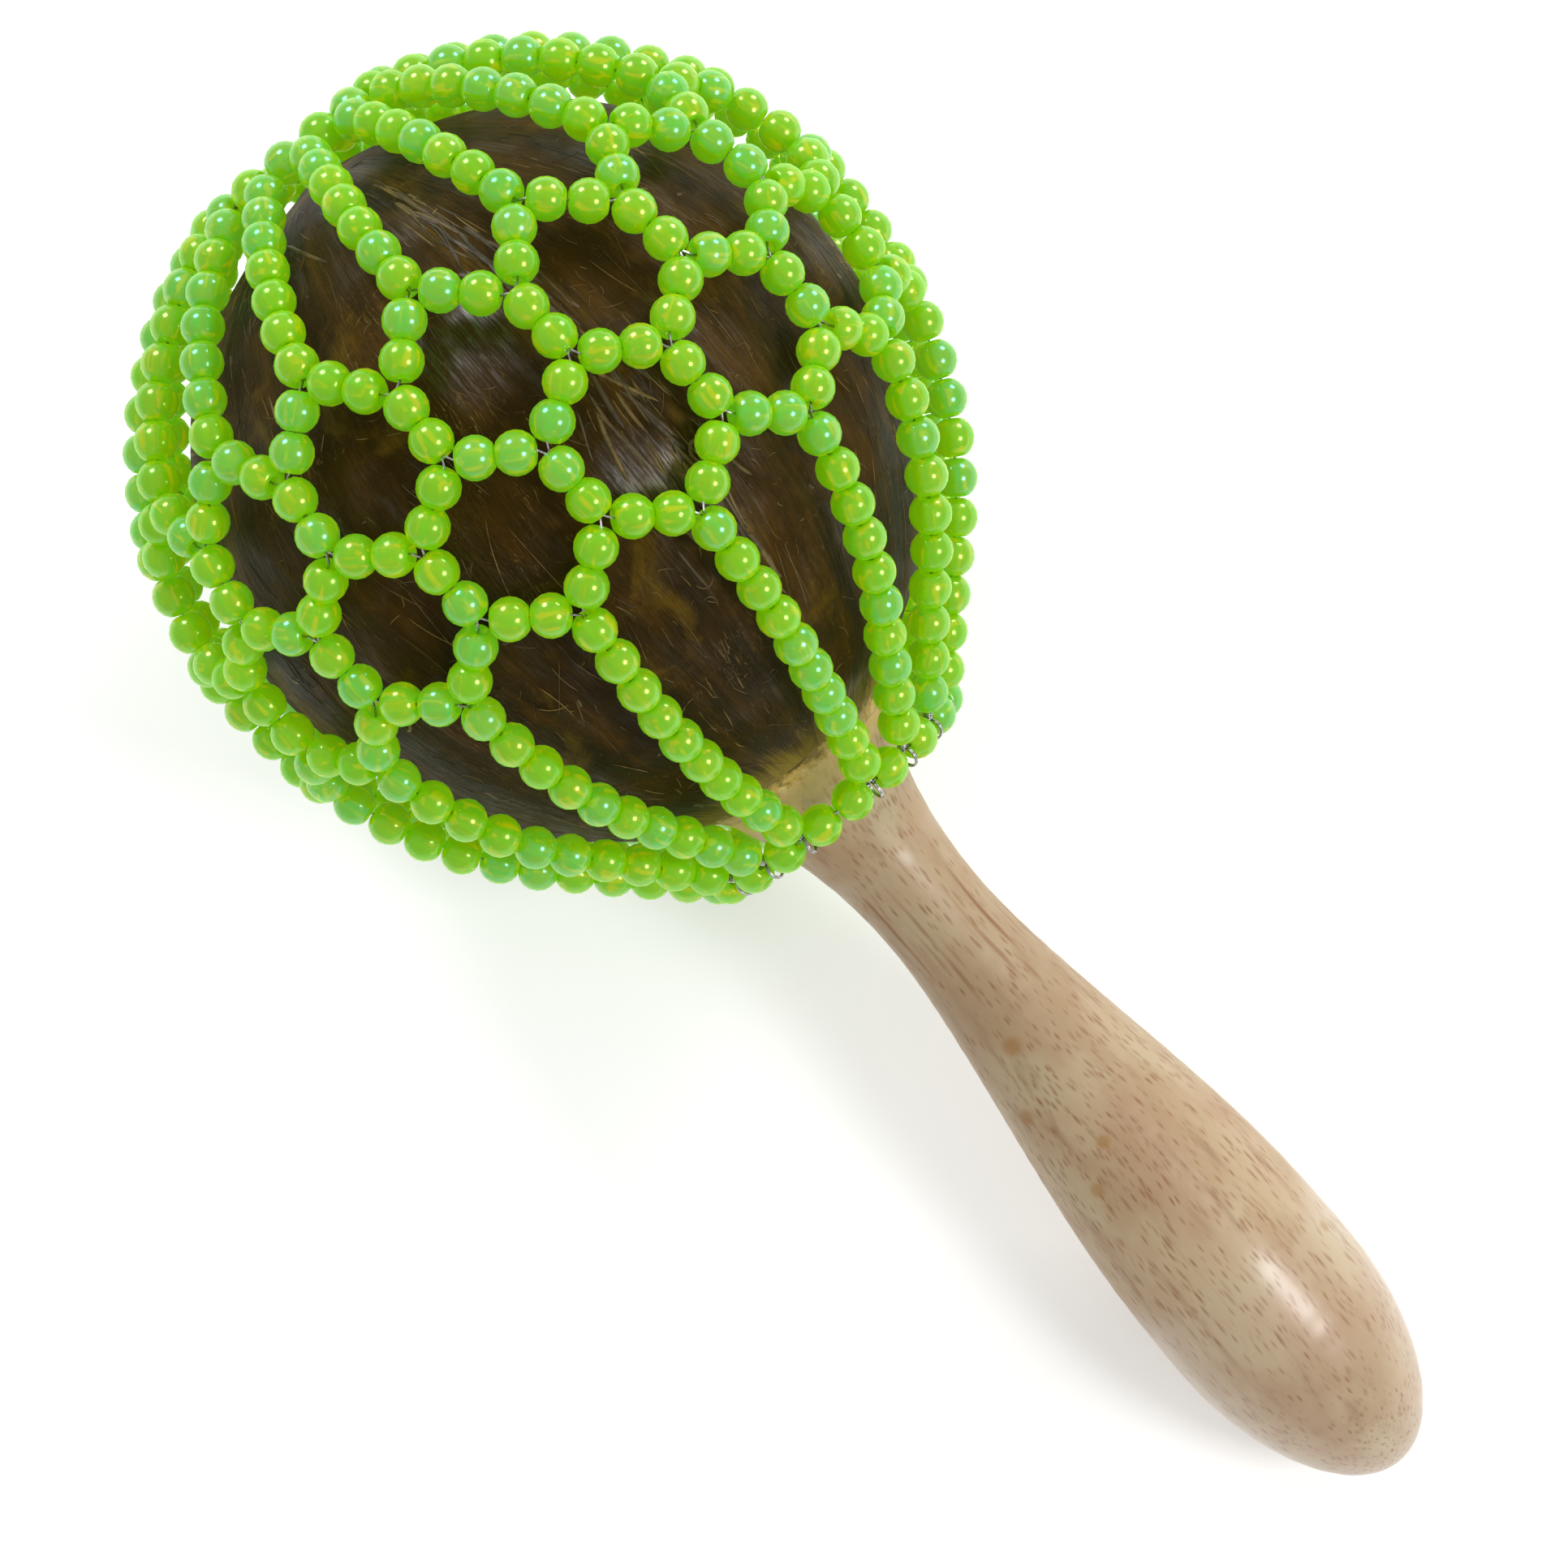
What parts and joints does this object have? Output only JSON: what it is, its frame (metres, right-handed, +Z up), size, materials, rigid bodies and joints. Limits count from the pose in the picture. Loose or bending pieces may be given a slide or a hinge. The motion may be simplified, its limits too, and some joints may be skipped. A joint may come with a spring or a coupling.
{
  "type": "shekere",
  "caption": "Hand shaker: a hollow coconut shell on a turned wooden handle, in a loose wire-strung net of round translucent beads that slides and turns round it.",
  "frame": {"origin": "centre of the footprint of the whole object, on the plane that it lies on", "axes": "+X from the crown of the shell to the end of the handle, +Z up from the resting plane; the instrument's own axis lies in the XZ plane and dips 14.21 degrees towards the end of the handle"},
  "size_m": [0.2488, 0.1182, 0.1149],
  "materials": {
    "coconut": "polished dark coconut shell with golden fibre flecks, satin varnish",
    "handle_wood": "pale turned hardwood with short brown pore flecks, clear satin varnish",
    "filler": "yellow-brown glue and filler, matte",
    "bead": "translucent neon-green plastic with an iridescent coat",
    "steel_wire": "bright drawn steel wire"
  },
  "bodies": {
    "instrument": {"coconut_shell": "coconut", "handle": "handle_wood", "neck_seam": "filler"},
    "neck_ring": {"neck_ring_wire": "steel_wire"},
    "net": {"crown_ring_beads": "bead", "crown_ring_wire": "steel_wire", "crown_strand_01": "bead", "crown_strand_02": "bead", "crown_strand_03": "bead", "crown_strand_04": "bead", "crown_strand_05": "bead", "crown_strand_06": "bead", "crown_strand_07": "bead", "crown_strand_08": "bead", "crown_strand_09": "bead", "crown_strand_10": "bead", "crown_strand_11": "bead", "crown_strand_12": "bead", "crown_strand_13": "bead", "crown_strand_14": "bead", "crown_strand_15": "bead", "crown_strand_16": "bead", "upper_diagonal_beads": "bead", "upper_link_beads": "bead", "middle_diagonal_beads": "bead", "lower_link_beads": "bead", "lower_diagonal_beads": "bead", "neck_strand_01": "bead", "neck_strand_02": "bead", "neck_strand_03": "bead", "neck_strand_04": "bead", "neck_strand_05": "bead", "neck_strand_06": "bead", "neck_strand_07": "bead", "neck_strand_08": "bead", "neck_strand_09": "bead", "neck_strand_10": "bead", "neck_strand_11": "bead", "neck_strand_12": "bead", "neck_strand_13": "bead", "neck_strand_14": "bead", "neck_strand_15": "bead", "neck_strand_16": "bead", "neck_ring_beads": "bead", "wire_eyelets": "steel_wire", "left_net_wires": "steel_wire", "right_net_wires": "steel_wire"}
  },
  "joints": [
    {"name": "net_slide", "type": "slide", "parent": "instrument", "child": "neck_ring", "axis": [0.9694, 0, -0.2455], "range_m": [0, 0.0025]},
    {"name": "net_spin", "type": "hinge", "parent": "neck_ring", "child": "net", "pos_m": [-0.06506, 0, 0.05764], "axis": [0.9694, 0, -0.2455], "continuous": true}
  ]
}
